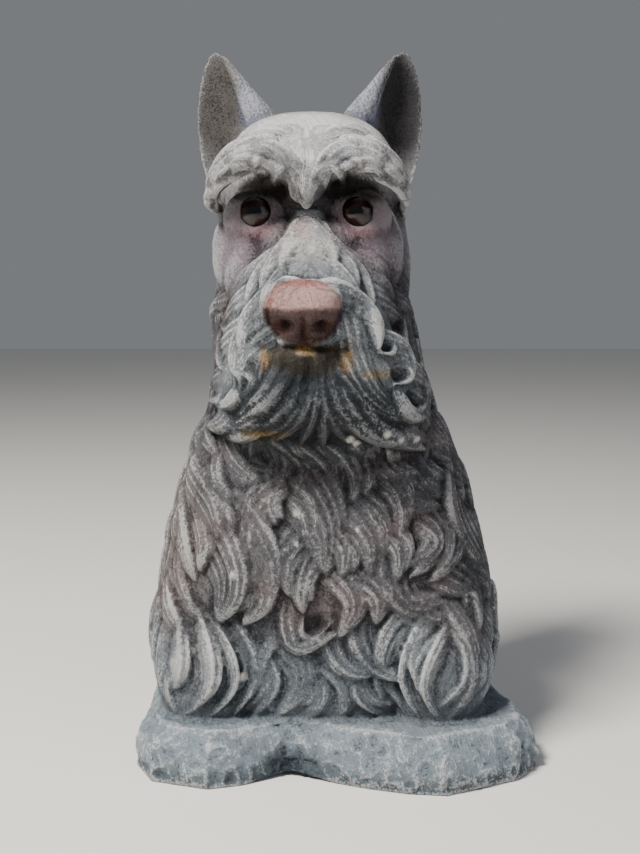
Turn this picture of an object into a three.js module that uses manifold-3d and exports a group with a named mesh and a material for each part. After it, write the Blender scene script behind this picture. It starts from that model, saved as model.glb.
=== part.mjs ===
// A sitting Scottish terrier cast in cement in one piece with its rough base, and two glass eyes.
// Millimetres, +Z up. The dog looks along -Y, so +X is on a viewer's right. The origin is on the
// base's flat underside, on the figure's upright centre line.
import * as THREE from "three";
import { mergeVertices } from "three/addons/utils/BufferGeometryUtils.js";
import Module from "manifold-3d";

const wasm = await Module();
wasm.setup();

// Driving sizes.
const FIGURE_HEIGHT = 358; // from the base's top to the ear tips
const BASE_THICKNESS = 28;
const BASE_LEDGE = 18; // bare base showing past the coat
const EYE_DIAMETER = 19;
const EYE_CLEARANCE = 0.3; // between the glass and the cement round it
const LOCK_RELIEF = 7; // how far the tip of a lock stands out of the coat
const BEARD_RELIEF = 11; // the same in the beard
const LOCK_SPREAD = 1.4; // how much a lock is fuller than its middle strand

// The carving is laid out on a figure 358 units tall, measured up from the base's top.
const FIGURE_UNITS = 358;
const unit = FIGURE_HEIGHT / FIGURE_UNITS;
const HEAD = { x: -6, turn: THREE.MathUtils.degToRad(-1) }; // the head is held a little to one side

function place(x, y, height) {
  return new THREE.Vector3(x * unit, y * unit, BASE_THICKNESS + height * unit);
}

function onHead(x, y, height) {
  const turned = new THREE.Vector2(x, y).rotateAround(new THREE.Vector2(), HEAD.turn);
  return place(turned.x + HEAD.x, turned.y, height);
}

// Solids.

function solid(geometry) {
  const bare = geometry.clone();
  bare.deleteAttribute("normal");
  bare.deleteAttribute("uv");
  const merged = mergeVertices(bare, 1e-4);
  const triVerts = new Uint32Array(merged.index.array);
  const vertProperties = merged.attributes.position.array;
  const made = new wasm.Manifold(new wasm.Mesh({ numProp: 3, vertProperties, triVerts }));
  if (made.volume() > 0) return made;
  for (let i = 0; i < triVerts.length; i += 3) {
    [triVerts[i + 1], triVerts[i + 2]] = [triVerts[i + 2], triVerts[i + 1]];
  }
  return new wasm.Manifold(new wasm.Mesh({ numProp: 3, vertProperties, triVerts }));
}

function geometryOf(made) {
  const { numProp, numVert, vertProperties, triVerts } = made.getMesh();
  const points = new Float32Array(numVert * 3);
  for (let i = 0; i < numVert; i++) {
    points.set(vertProperties.subarray(i * numProp, i * numProp + 3), i * 3);
  }
  const geometry = new THREE.BufferGeometry();
  geometry.setAttribute("position", new THREE.BufferAttribute(points, 3));
  geometry.setIndex(new THREE.BufferAttribute(new Uint32Array(triVerts), 1));
  geometry.computeVertexNormals();
  return geometry;
}

// A sphere whose rings are moved: form(angle, share) gives the point at an angle round the ring
// that lies at a share of the way from the first pole to the last.
function ringed(around, rings, form) {
  const geometry = new THREE.SphereGeometry(1, around, rings);
  const points = geometry.attributes.position;
  const at = new THREE.Vector3();
  for (let i = 0; i < points.count; i++) {
    at.fromBufferAttribute(points, i).normalize();
    const share = Math.acos(THREE.MathUtils.clamp(at.y, -1, 1)) / Math.PI;
    const pole = share < 1e-4 || share > 1 - 1e-4;
    const moved = form(pole ? 0 : Math.atan2(at.z, at.x), share, pole ? 0 : 1);
    points.setXYZ(i, moved.x, moved.y, moved.z);
  }
  return solid(geometry);
}

// Rounds a circle towards a box: 2 is a circle, more is squarer.
function rounded(value, power) {
  return Math.sign(value) * Math.abs(value) ** (2 / power);
}

// Reads a table of rows, each starting with its height, at any height.
function rowAt(rows, height) {
  const above = rows.findIndex((row) => row[0] >= height);
  if (above === 0) return rows[0];
  if (above < 0) return rows[rows.length - 1];
  const [low, high] = [rows[above - 1], rows[above]];
  const share = (height - low[0]) / (high[0] - low[0]);
  return low.map((value, i) => THREE.MathUtils.lerp(value, high[i], share));
}

// An upright form with flat ends, from rows of [height, left, right, front, back] as measured from
// the axis.
function upright(rows, around, rings, power) {
  const [bottom, top] = [rows[0][0], rows[rows.length - 1][0]];
  return ringed(around, rings, (angle, share, radius) => {
    const down = THREE.MathUtils.clamp((share * rings - 1) / (rings - 2), 0, 1);
    const height = THREE.MathUtils.lerp(top, bottom, down);
    const [, left, right, front, back] = rowAt(rows, height);
    const x = (right - left) / 2 + (rounded(Math.cos(angle), power) * (right + left) * radius) / 2;
    const y = (back - front) / 2 + (rounded(Math.sin(angle), power) * (back + front) * radius) / 2;
    return place(x, y, height);
  });
}

function egg([x, y, height], [rx, ry, rz], at, around = 10, rings = 6) {
  return ringed(around, rings, (angle, share) => {
    const ring = Math.sin(share * Math.PI);
    return at(
      x + rx * ring * Math.cos(angle),
      y + ry * ring * Math.sin(angle),
      height + rz * Math.cos(share * Math.PI),
    );
  });
}

function joined(pieces) {
  return pieces.reduce((whole, piece) => whole.add(piece));
}

// The dog's body under its coat: [height, left, right, front, back].
const TRUNK = [
  [-6, 91, 94, 38, 85],
  [10, 93, 97, 46, 86],
  [30, 92, 95, 55, 85],
  [50, 90, 95, 61, 81],
  [72, 86, 91, 64, 75],
  [97, 81, 86, 63, 66],
  [122, 74, 78, 58, 57],
  [146, 67, 70, 52, 49],
  [160, 58, 60, 48, 46],
  [180, 54, 54, 42, 44],
  [210, 48, 48, 32, 42],
  [240, 40, 40, 22, 36],
];

function trunk() {
  return joined([
    upright(TRUNK, 14, 10, 2.3),
    egg([-60, -26, 22], [30, 30, 48], place), // foreleg under its coat
    egg([61, -28, 22], [31, 32, 50], place),
    egg([-64, 26, 32], [31, 52, 46], place), // haunch
    egg([70, 26, 32], [31, 52, 46], place),
  ]);
}

// The head without its hair, then the muzzle with its beard.
const SKULL = [
  [190, 54, 42, 30, 40],
  [206, 57, 46, 38, 38],
  [224, 59, 50, 44, 40],
  [242, 60, 51, 46, 47],
  [256, 59, 49, 43, 52],
  [270, 58, 47, 47, 54],
  [284, 56, 45, 53, 53],
  [298, 52, 41, 49, 49],
  [309, 45, 34, 39, 41],
  [316, 37, 26, 27, 30],
  [320, 28, 17, 14, 18],
];
const BEARD = [
  [145, 40, 40, 62, 34],
  [155, 53, 53, 79, 34],
  [168, 56, 55, 86, 30],
  [186, 52, 49, 88, 26],
  [204, 47, 38, 88, 22],
  [220, 42, 31, 86, 20],
  [234, 34, 21, 76, 10],
  [248, 24, 11, 62, 10],
  [266, 15, 2, 47, 10],
];
const NOSE = [
  [197, 17, 1, 93, -66],
  [206, 23, 7, 101, -70],
  [216, 27, 11, 104, -70],
  [224, 27, 11, 101, -70],
  [230, 20, 4, 90, -70],
];
const NOSTRILS = { apart: 20, forward: 102, height: 209, reach: [4, 6, 3] };

// Rolls of cement, in rows of [x, y, height, radius] from end to end, on the head.
const BROW = [
  [3, -49, 277, 5],
  [12, -56, 284, 8],
  [22, -59, 291, 9],
  [35, -57, 289, 9],
  [46, -47, 281, 8],
  [53, -34, 269, 5],
];
const JOWL = [
  [40, -24, 272, 4],
  [46, -26, 250, 9],
  [45, -22, 224, 6],
];
const KEYSTONE = [
  [0, -44, 294, 8],
  [0, -51, 280, 9],
  [0, -52, 266, 4],
];

function roll(rows, side) {
  const curve = new THREE.CatmullRomCurve3(rows.map(([x, y, height]) => onHead(side * x, y, height)));
  const [along, out, over] = [new THREE.Vector3(), new THREE.Vector3(), new THREE.Vector3(1, 0, 0)];
  return ringed(6, Math.round(rows.length * 1.4), (angle, share) => {
    const at = curve.getPoint(share);
    const [row, part] = [Math.floor(share * (rows.length - 1)), (share * (rows.length - 1)) % 1];
    const radius = THREE.MathUtils.lerp(rows[row][3], (rows[row + 1] ?? rows[row])[3], part);
    const round = Math.sin(Math.PI * share) ** 0.4 * radius * unit;
    curve.getTangent(share, along);
    out.set(0, -1, 0).addScaledVector(along, along.y).normalize();
    over.crossVectors(along, out);
    return at.addScaledVector(over, Math.cos(angle) * round).addScaledVector(out, Math.sin(angle) * round);
  });
}

// The glass eyes, and the lid that holds each.
const EYES = { apart: 52, forward: 40, height: 264.5 };
const LID = { radius: 11.6, behind: 3 }; // the lid is a ball a little behind the eye's own

function eyeCentre(side, behind = 0) {
  return onHead((side * EYES.apart) / 2, behind - EYES.forward, EYES.height);
}

function ball(centre, radius) {
  return new THREE.SphereGeometry(radius, 12, 7).translate(...centre.toArray());
}

function head() {
  const halves = [-1, 1].flatMap((side) => [
    ear(side),
    roll(BROW, side),
    roll(JOWL, side),
    solid(ball(eyeCentre(side, LID.behind), LID.radius)),
  ]);
  return joined([
    upright(SKULL, 16, 11, 2.3),
    upright(BEARD, 16, 8, 2.5),
    upright(NOSE, 12, 6, 2.5),
    roll(KEYSTONE, 1),
    ...halves,
  ]);
}

// A pricked ear: a pointed leaf with a deep hollow turned forwards and outwards, and a thick
// inner rim. Root and tip are [from the head's middle, back, height].
const EAR = {
  root: [40.5, 4, 268],
  tip: [52.5, 14, 358],
  half: 19.5,
  turn: THREE.MathUtils.degToRad(24),
  hollow: 15,
  innerRim: 13,
  outerRim: 5,
};

function ear(side) {
  return ringed(10, 8, (angle, share, radius) => {
    const root = 1 - share;
    const [x, y, height] = EAR.root.map((low, i) => THREE.MathUtils.lerp(low, EAR.tip[i], root));
    const across = Math.cos(angle);
    const half = EAR.half * (1 - root ** 3.2) ** 0.7 * (1 - 0.5 * share ** 5) * radius;
    const rim = THREE.MathUtils.lerp(EAR.innerRim, EAR.outerRim, (across + 1) / 2) * radius;
    const thick = (rim / 2) * Math.abs(Math.sin(angle)) ** 0.6 * share ** 0.4;
    const depth = EAR.hollow * (1 - across ** 2) * share ** 0.6 * radius;
    const turned = new THREE.Vector2(across * half, depth + Math.sign(Math.sin(angle)) * thick);
    turned.rotateAround(new THREE.Vector2(), EAR.turn);
    return onHead(side * (x + turned.x), y + turned.y, height);
  });
}

// Locks of hair.

const clay = joined([trunk(), head()]);
const clayMesh = new THREE.Mesh(geometryOf(clay), new THREE.MeshStandardMaterial());
const ray = new THREE.Raycaster();
const FAR = 400;

// The point on the bare figure that is met from outside, looking at an upright axis.
function metFrom(outside, towards) {
  ray.set(outside, towards.clone().sub(outside).normalize());
  return ray.intersectObject(clayMesh)[0]?.point;
}

// Straight in from the front, nearer the middle if the figure is narrower than that.
function fromFront(x, height) {
  for (let share = 1; share > 0.5; share -= 0.02) {
    const hit = metFrom(place(x * share, -FAR, height), place(x * share, 0, height));
    if (hit) return hit;
  }
  return place(0, 0, height);
}

// In from an azimuth, 0 at the front and 90 on the viewer's right.
function fromAround(azimuth, height) {
  const angle = THREE.MathUtils.degToRad(azimuth);
  const out = place(FAR * Math.sin(angle), -FAR * Math.cos(angle), height);
  return metFrom(out, place(0, 0, height)) ?? place(0, 0, height);
}

// One lock: a ridged leaf along a path on the figure, its root sunk in the coat and its tip proud.
function lock(path, middle, width, relief) {
  const curve = new THREE.CatmullRomCurve3(path);
  const up = new THREE.Vector3();
  const side = new THREE.Vector3();
  return ringed(4, 5, (angle, share) => {
    const at = curve.getPoint(share);
    const along = curve.getTangent(share);
    up.subVectors(at, middle).setZ(0).normalize();
    side.crossVectors(along, up).normalize();
    up.crossVectors(side, along).normalize();
    const half = (width / 2) * LOCK_SPREAD * unit * Math.sin(Math.PI * share ** 0.62) ** 0.7;
    const thick = relief * Math.sin(Math.PI * share) ** 0.5;
    const lift = relief * (0.35 * share - 0.75 * (1 - share) ** 2);
    at.addScaledVector(side, half * Math.cos(angle));
    return at.addScaledVector(up, lift + thick * Math.sin(angle));
  });
}

// [root x, root height, tip x, tip height, bow, width], seen from the front.
// A lock with a positive bow swings out to the viewer's right on its way down.
const CHEST_LOCKS = [
  [-58, 150, -34, 122, -5, 20],
  [-36, 152, -28, 122, -3, 16],
  [-18, 152, -12, 122, 3, 15],
  [0, 150, 8, 120, 4, 15],
  [15, 150, 22, 118, 4, 15],
  [30, 150, 48, 124, -3, 16],
  [50, 146, 70, 118, -4, 18],
  [-74, 150, -60, 122, -3, 18],
  [-18, 131, -29, 88, -8, 13],
  [-36, 126, -27, 74, -10, 17],
  [-15, 130, 6, 80, 6, 24],
  [-8, 98, -17, 64, -6, 13],
  [8, 112, 24, 76, 6, 16],
  [20, 128, 42, 92, 8, 16],
  [38, 130, 63, 108, -6, 15],
  [62, 130, 84, 104, 4, 18],
  [-78, 124, -51, 94, 3, 22],
  [-82, 114, -68, 70, -4, 19],
  [-60, 98, -49, 52, 7, 21],
  [-47, 108, -24, 62, 6, 18],
  [-82, 82, -65, 48, -5, 18],
  [-3, 78, 6, 42, -12, 12],
  [8, 86, 14, 46, 8, 14],
  [20, 82, 33, 52, 6, 16],
  [52, 112, 48, 74, 9, 16],
  [39, 86, 68, 56, -8, 15],
  [76, 106, 84, 70, 6, 19],
  [66, 84, 88, 44, 5, 21],
  [-84, 58, -92, 10, -5, 21],
  [-74, 52, -75, 4, 4, 20],
  [-66, 54, -44, 20, 6, 24],
  [-48, 52, -34, 4, 10, 18],
  [-26, 46, -22, 4, 13, 16],
  [2, 44, 8, 4, 6, 16],
  [56, 54, 30, 24, -4, 21],
  [14, 50, 30, 16, -6, 15],
  [62, 54, 42, 4, -6, 21],
  [76, 50, 66, 4, 9, 22],
  [88, 52, 86, 12, -5, 17],
  [91, 46, 100, 6, 5, 18],
];

// The same for the moustache on each side, then the fan of the beard under the mouth.
const FACE_LOCKS = [
  [-14, 246, -40, 230, -4, 11],
  [-18, 232, -46, 206, -6, 13],
  [-22, 214, -40, 176, -5, 17],
  [-37, 222, -56, 170, -7, 15],
  [-26, 184, -49, 153, 5, 17],
  [-55, 184, -60, 158, -4, 12],
  [0, 246, 26, 234, 4, 11],
  [7, 236, 35, 208, 6, 13],
  [10, 208, 28, 170, 5, 17],
  [24, 224, 46, 190, 7, 14],
  [16, 180, 50, 146, -6, 18],
  [36, 188, 54, 160, 6, 14],
  [47, 206, 58, 172, 5, 13],
  [51, 172, 60, 140, 4, 15],
  [-17, 194, -35, 152, 5, 10],
  [-12, 196, -23, 150, 4, 9],
  [-6, 196, -11, 149, 2, 9],
  [0, 196, 2, 148, -2, 9],
  [6, 194, 15, 148, -3, 9],
  [12, 194, 29, 146, -5, 10],
];

function frontLocks(rows, middle, relief) {
  return rows.map(([x0, height0, x1, height1, bow, width]) => {
    const [run, drop] = [x1 - x0, height1 - height0];
    const length = Math.hypot(run, drop);
    const path = [-0.2, 0.2, 0.6, 1].map((share) => {
      const out = bow * 4 * share * (1 - share);
      return fromFront(
        x0 + run * share - (out * drop) / length,
        height0 + drop * share + (out * run) / length,
      );
    });
    return lock(path, middle, width, relief);
  });
}

// The coat round the sides and back, in rows that overlap like tiles.
const COAT = { rows: [204, 164, 124, 84, 44], step: 46, from: 84, length: 56, width: 33, sway: 9 };

function coatLocks() {
  const middle = place(0, 0, 0);
  return COAT.rows.flatMap((height, row) => {
    const first = COAT.from + (row % 2) * (COAT.step / 2);
    const count = Math.round((360 - 2 * first) / COAT.step) + 1;
    return Array.from({ length: count }, (_, i) => {
      const azimuth = first + i * ((360 - 2 * first) / (count - 1));
      const sway = COAT.sway * (i % 2 ? 1 : -1);
      const path = [0, 0.5, 1].map((share) =>
        fromAround(azimuth + sway * Math.sin(Math.PI * share) * 0.7, height - COAT.length * (share - 0.25)),
      );
      return lock(path, middle, COAT.width, LOCK_RELIEF);
    });
  });
}

// The base: a hewn slab round the figure. [azimuth, reach] of its corners before the ledge is
// added, from the front round past the viewer's right, which is at 90.
const BASE_CORNERS = [
  [0, 50],
  [18, 64],
  [28, 77],
  [37, 90],
  [58, 106],
  [68, 109],
  [78, 102],
  [90, 93],
  [110, 95],
  [130, 99],
  [153, 94],
  [180, 88],
  [207, 94],
  [228, 97],
  [251, 88],
  [268, 82],
  [294, 92],
  [307, 94],
  [323, 80],
  [331, 66],
  [344, 47],
];
const BASE_LEVELS = [2, 0, 3, 12]; // how far the edge is worn back, from the underside to the top

function base() {
  const sides = BASE_CORNERS.length;
  const levels = BASE_LEVELS.length - 1;
  const geometry = new THREE.CylinderGeometry(1, 1, 1, sides, levels).rotateX(Math.PI / 2);
  const points = geometry.attributes.position;
  for (let i = 0; i < points.count; i++) {
    const [x, y] = [points.getX(i), points.getY(i)];
    const level = Math.round((points.getZ(i) + 0.5) * levels);
    const corner = Math.round((Math.atan2(x, -y) / (2 * Math.PI)) * sides);
    const [azimuth, reach] = BASE_CORNERS[(corner + sides) % sides];
    const radius = Math.hypot(x, y) * (reach * unit + BASE_LEDGE - BASE_LEVELS[level]);
    const angle = THREE.MathUtils.degToRad(azimuth);
    const height = (level / levels) * BASE_THICKNESS;
    points.setXYZ(i, radius * Math.sin(angle), -radius * Math.cos(angle), height);
  }
  return solid(geometry);
}

// The casting.
const cement = new THREE.MeshStandardMaterial({ color: 0x8d8c8e, roughness: 0.85, metalness: 0 });
const glass = new THREE.MeshStandardMaterial({ color: 0x2a1512, roughness: 0.05, metalness: 0 });

let casting = joined([
  clay,
  base(),
  ...frontLocks(CHEST_LOCKS, place(0, 0, 0), LOCK_RELIEF),
  ...frontLocks(FACE_LOCKS, onHead(0, -30, 0), BEARD_RELIEF),
  ...coatLocks(),
]);
for (const side of [-1, 1]) {
  const nostril = [(side * NOSTRILS.apart) / 2 - 1, -NOSTRILS.forward, NOSTRILS.height];
  casting = casting
    .subtract(solid(ball(eyeCentre(side), EYE_DIAMETER / 2 + EYE_CLEARANCE)))
    .subtract(egg(nostril, NOSTRILS.reach, onHead, 8, 5));
}

const statue = new THREE.Group();
const dog = new THREE.Mesh(geometryOf(casting), cement);
dog.name = "terrier_on_base";
statue.add(dog);
for (const [name, side] of [
  ["glass_eye_right", -1],
  ["glass_eye_left", 1],
]) {
  const eye = new THREE.Mesh(ball(eyeCentre(side), EYE_DIAMETER / 2), glass);
  eye.name = name;
  statue.add(eye);
}

export default statue;
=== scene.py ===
# %% [markdown]
# # A cement Scottish terrier with glass eyes
#
# The statue is one casting: a sitting dog on a rough slab. A mould maker carved its long coat, beard
# and brows as locks of hair, a painter gave it grey paint with white brushed over the high places,
# and years outdoors wore both. Two brown glass eyes were set in it afterwards.
#
# The lesson follows the carver: first the plain body in clay, then locks laid on it one by one, then
# everything melted into one skin, then small tool marks, and the paint last.

# %% The frame and the tools
import math
import random

import bmesh
import bpy
import numpy as np
from mathutils import Matrix, Vector, kdtree, noise
from mathutils.bvhtree import BVHTree


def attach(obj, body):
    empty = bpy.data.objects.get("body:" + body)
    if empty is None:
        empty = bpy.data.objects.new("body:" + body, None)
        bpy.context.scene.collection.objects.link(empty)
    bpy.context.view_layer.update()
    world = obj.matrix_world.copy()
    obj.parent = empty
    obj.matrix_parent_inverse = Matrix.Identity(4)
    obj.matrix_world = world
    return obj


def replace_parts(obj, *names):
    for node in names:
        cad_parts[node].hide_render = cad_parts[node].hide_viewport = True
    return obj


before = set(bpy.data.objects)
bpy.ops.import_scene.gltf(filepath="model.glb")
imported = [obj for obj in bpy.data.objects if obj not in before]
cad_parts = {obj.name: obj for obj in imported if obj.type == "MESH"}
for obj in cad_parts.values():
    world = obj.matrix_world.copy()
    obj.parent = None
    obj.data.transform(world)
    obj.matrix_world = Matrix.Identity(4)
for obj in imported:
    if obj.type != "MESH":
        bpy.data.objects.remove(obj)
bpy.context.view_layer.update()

# %% [markdown]
# The work is done in millimetres, as on a bench, and turned to metres at the end. Heights on the
# figure are counted from the top of the slab, because the dog sits there.

# %% Sizes of the statue
SLAB = 28.0  # thickness of the base
SKIN = 0.95  # size of the cubes that melt the forms into one skin
FACES = 196000  # triangles left in the casting
HEAD_X, HEAD_TURN = -6.0, math.radians(-1)


def place(x, y, height):
    return Vector((x, y, SLAB + height))


def on_head(x, y, height):
    c, s = math.cos(HEAD_TURN), math.sin(HEAD_TURN)
    return place(x * c - y * s + HEAD_X, x * s + y * c, height)


# %% [markdown]
# ## Clay
#
# Every rounded form here could be pulled from a cube, but a ball is closed, has its rings in order,
# and each ring can be moved to where a table wants it. So one helper makes a ball and sends each of
# its points somewhere else. Hundreds of balls are needed, so each kind is made once and joined in.

# %% A ball whose rings are moved
plain_balls = {}


def plain_ball(around, rings):
    """A ball of radius 1, made once for each number of sides and rings."""
    if (around, rings) not in plain_balls:
        bm = bmesh.new()
        bmesh.ops.create_uvsphere(bm, u_segments=around, v_segments=rings, radius=1)
        plain_balls[around, rings] = bpy.data.meshes.new("plain_ball")
        bm.to_mesh(plain_balls[around, rings])
        bm.free()
    return plain_balls[around, rings]


def ringed(bm, around, rings, form):
    """Adds a ball whose points go to form(angle, share of the way from its top, 0 at a pole or 1)."""
    first = len(bm.verts)
    bm.from_mesh(plain_ball(around, rings))
    bm.verts.ensure_lookup_table()
    for v in bm.verts[first:]:
        x, y, z = v.co
        pole = math.hypot(x, y) < 1e-4
        share = math.acos(max(-1.0, min(1.0, z))) / math.pi
        v.co = form(0.0 if pole else math.atan2(y, x), share, 0.0 if pole else 1.0)


print("a plain ball of 40 sides and 28 rings has", len(plain_ball(40, 28).vertices), "points")

# %% [markdown]
# Two kinds of ball make the body: a column, whose rings follow a table of heights and reaches, and an
# egg, which is only stretched. A lofted outline would do for the column too, but a table of reaches
# can be corrected one height at a time.

# %% Columns and eggs
def squarer(value, power):
    """A sine or cosine whose circle bulges towards a square as the power passes 2."""
    return math.copysign(abs(value) ** (2 / power), value)


def upright(bm, rows, around, rings, power):
    table = np.array(rows, float)
    low, high = table[0, 0], table[-1, 0]

    def form(angle, share, radius):
        down = max(0.0, min(1.0, (share * rings - 1) / (rings - 2)))
        height = high + (low - high) * down
        left, right, front, back = (np.interp(height, table[:, 0], table[:, k]) for k in range(1, 5))
        x = (right - left) / 2 + squarer(math.cos(angle), power) * (right + left) * radius / 2
        y = (back - front) / 2 + squarer(math.sin(angle), power) * (back + front) * radius / 2
        return place(x, y, height)

    ringed(bm, around, rings, form)


def egg(bm, middle, reach, at=place, around=40, rings=28):
    def form(angle, share, radius):
        ring = math.sin(share * math.pi) * radius
        return at(
            middle[0] + reach[0] * ring * math.cos(angle),
            middle[1] + reach[1] * ring * math.sin(angle),
            middle[2] + reach[2] * math.cos(share * math.pi),
        )

    ringed(bm, around, rings, form)


print("a squarer ring reaches", round(squarer(math.cos(math.pi / 4), 2.5), 2), "where a round one has 0.71")

# %% [markdown]
# The body under its coat is wide and deep at the base and narrow at the neck, and the skull, the
# beard and the nose are columns too. A carver blocks them out from a front and a side drawing, and so
# do these tables: each row is a height, then how far the form reaches left, right, forwards and back.
# The forelegs and haunches are eggs that push out of it: a centre, then reaches across, along and up.

# %% The body and the skull
TRUNK = [
    (-6, 91, 94, 50, 85), (10, 93, 97, 53, 86), (30, 92, 95, 56, 85), (50, 90, 95, 61, 81),
    (72, 86, 91, 64, 75), (97, 81, 86, 63, 66), (122, 74, 78, 58, 57), (146, 66, 69, 52, 49),
    (160, 58, 60, 48, 46), (180, 54, 54, 42, 44), (210, 48, 48, 32, 42), (240, 40, 40, 22, 36),
]
SKULL = [
    (190, 54, 42, 30, 40), (206, 56, 46, 38, 38), (224, 57, 49, 43, 40), (242, 57, 50, 45, 47),
    (256, 56, 48, 41, 52), (268, 55, 46, 41, 54), (282, 54, 44, 48, 53), (294, 52, 42, 50, 51),
    (303, 48, 38, 46, 47), (310, 43, 33, 39, 41), (316, 35, 25, 28, 31), (320, 24, 14, 14, 18),
]
BEARD = [
    (145, 40, 40, 62, 34), (155, 53, 53, 79, 34), (168, 56, 55, 86, 30), (186, 52, 49, 88, 26),
    (204, 47, 38, 88, 22), (220, 43, 32, 85, 20), (234, 38, 25, 75, 10), (248, 29, 16, 61, 10),
    (266, 16, 4, 46, 10),
]
NOSE = [
    (199, 15, -1, 92, -70), (203, 21, 5, 97, -70), (209, 24, 8, 101, -70), (216, 26, 10, 103, -70),
    (222, 27, 11, 101, -70), (226, 25, 9, 97, -70), (230, 19, 3, 88, -70),
]
LEGS = [
    ((-60, -26, 22), (30, 30, 48)), ((61, -28, 22), (31, 32, 50)),
    ((-64, 26, 32), (31, 52, 46)), ((70, 26, 32), (31, 52, 46)),
]

clay = bmesh.new()
upright(clay, TRUNK, 72, 50, 2.3)
for middle, reach in LEGS:
    egg(clay, middle, reach)
upright(clay, SKULL, 72, 50, 2.25)
upright(clay, BEARD, 64, 40, 2.5)
upright(clay, NOSE, 40, 24, 2.6)
print("clay so far:", len(clay.verts), "points")

# %% [markdown]
# Brows, jowls and the tuft between the brows are rolls of clay. Blender's curves could make them,
# but the locks of hair need the same smooth line later, so it is a short function: a roll follows a
# curve through its rows, and each row also says how thick it is there.

# %% Rolls of clay
def curve(points, share):
    """The place and the direction at a share of the way along a smooth curve through the points."""
    spans = len(points) - 1
    i = min(int(share * spans), spans - 1)
    t = share * spans - i
    before = points[i - 1] if i else points[0] * 2 - points[1]
    after = points[i + 2] if i + 2 <= spans else points[spans] * 2 - points[spans - 1]
    a, b = points[i], points[i + 1]
    at = 0.5 * (2 * a + (b - before) * t + (2 * before - 5 * a + 4 * b - after) * t**2
                + (3 * a - before - 3 * b + after) * t**3)
    along = 0.5 * ((b - before) + 2 * (2 * before - 5 * a + 4 * b - after) * t
                   + 3 * (3 * a - before - 3 * b + after) * t**2)
    return at, along.normalized()


def roll(bm, rows, side=1):
    """A roll of clay on the head: each row is across, back, up and the radius there."""
    points = [on_head(side * x, y, h) for x, y, h, _ in rows]
    radii = [r for *_, r in rows]

    def form(angle, share, radius):
        centre, along = curve(points, share)
        thick = np.interp(share * (len(rows) - 1), range(len(rows)), radii)
        thick *= math.sin(math.pi * min(max(share, 0), 1)) ** 0.4 * radius
        out = (Vector((0, -1, 0)) + along * along.y).normalized()
        over = along.cross(out)
        return centre + over * math.cos(angle) * thick + out * math.sin(angle) * thick

    ringed(bm, 24, 30, form)


BROW = [
    (3, -48, 279, 5), (11, -55, 286, 7.5), (21, -58, 292, 8), (34, -57, 289, 8.5),
    (45, -47, 281, 7.5), (52, -34, 269, 4.5),
]
JOWL = [(40, -24, 272, 4), (44, -25, 250, 7), (43, -22, 224, 5)]
KEYSTONE = [(0, -44, 296, 8), (0, -51, 281, 8.5), (0, -52, 265, 4)]
for side in (-1, 1):
    roll(clay, BROW, side)
    roll(clay, JOWL, side)
roll(clay, KEYSTONE)
print("with brows and jowls:", len(clay.verts), "points")

# %% [markdown]
# A pricked ear is a pointed leaf bent into a scoop. Its hollow faces forwards and a little outwards,
# and its inner rim is thick and rolled, which is the pale edge that catches the light. Eggs beside
# the muzzle carry the eyes and fill the cheeks out.

# %% Ears and cheeks
EAR = dict(
    root=(40.5, 4, 268), tip=(52.5, 14, 357.5), half=19.5, turn=math.radians(24),
    hollow=15, inner=12, outer=6.5,
)


def ear(bm, side):
    def form(angle, share, radius):
        root = 1 - share
        x, y, height = (a + (b - a) * root for a, b in zip(EAR["root"], EAR["tip"]))
        across = math.cos(angle)
        half = EAR["half"] * (1 - root**3.2) ** 0.7 * (1 - 0.5 * share**5) * radius
        rim = (EAR["inner"] + (EAR["outer"] - EAR["inner"]) * (across + 1) / 2) * radius
        thick = rim / 2 * abs(math.sin(angle)) ** 0.6 * share**0.4
        depth = EAR["hollow"] * (1 - across**2) * share**0.6 * radius
        u, v = across * half, depth + math.copysign(thick, math.sin(angle))
        c, s = math.cos(EAR["turn"]), math.sin(EAR["turn"])
        return on_head(side * (x + u * c - v * s), y + u * s + v * c, height)

    ringed(bm, 48, 44, form)


CHEEK_EGGS = [
    ((26, -34, 262), (18, 13.3, 16)), ((14, -36, 250), (14, 15, 14)),
    ((37, -22, 243), (14, 19, 22)), ((31, -32, 234), (13, 18, 22)),
]
EAR_RIM = [
    (48, 11, 355, 2), (42, 7, 345, 3.2), (35, 5, 333, 5), (28, 4, 321, 8), (21, 5, 311, 10),
    (13, 5, 302, 12),
]
for side in (-1, 1):
    ear(clay, side)
    roll(clay, EAR_RIM, side)
    for (x, y, height), reach in CHEEK_EGGS:
        egg(clay, (side * x, y, height), reach, at=on_head)
skin = BVHTree.FromBMesh(clay)
print("clay:", len(clay.verts), "points")

# %% [markdown]
# ## Locks of hair
#
# A carved lock is a leaf with fine ribs along it: its root is sunk in the coat, its tip stands proud
# and hooks to one side. Hair particles would give loose hairs, not carving, so each lock is a solid
# leaf that is bent along a path. The path is found by looking at the clay from the front (or from
# round about) and taking the point that is met.

# %% Finding places on the clay
FAR = 400.0  # rays start well outside the figure


def from_front(x, height):
    """The clay seen from the front at x. Past the figure's edge it looks nearer to the middle."""
    for share in np.arange(1, 0.5, -0.02):
        hit = skin.ray_cast(place(x * share, -FAR, height), Vector((0, 1, 0)))[0]
        if hit and hit.y < 40:
            return hit
    return place(0, 0, height)


def from_around(azimuth, height):
    """The clay seen from outside at a height, from degrees round from the front."""
    a = math.radians(azimuth)
    out = Vector((math.sin(a), -math.cos(a), 0))
    start = place(0, 0, height) + out * FAR
    return skin.ray_cast(start, -out)[0] or place(0, 0, height)


print("clay at the middle of the chest:", from_front(0, 100).to_tuple(1))

# %% [markdown]
# A lock could be swept along a curve with a profile, but a carved one changes all the way: it swells
# from a sunk root, thins to a point, and its ribs deepen towards the tip. So it is a ball again, laid
# along the path. Each spot on it is remembered with its distance across the lock, because the
# painter's brush will follow the hair.

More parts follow.
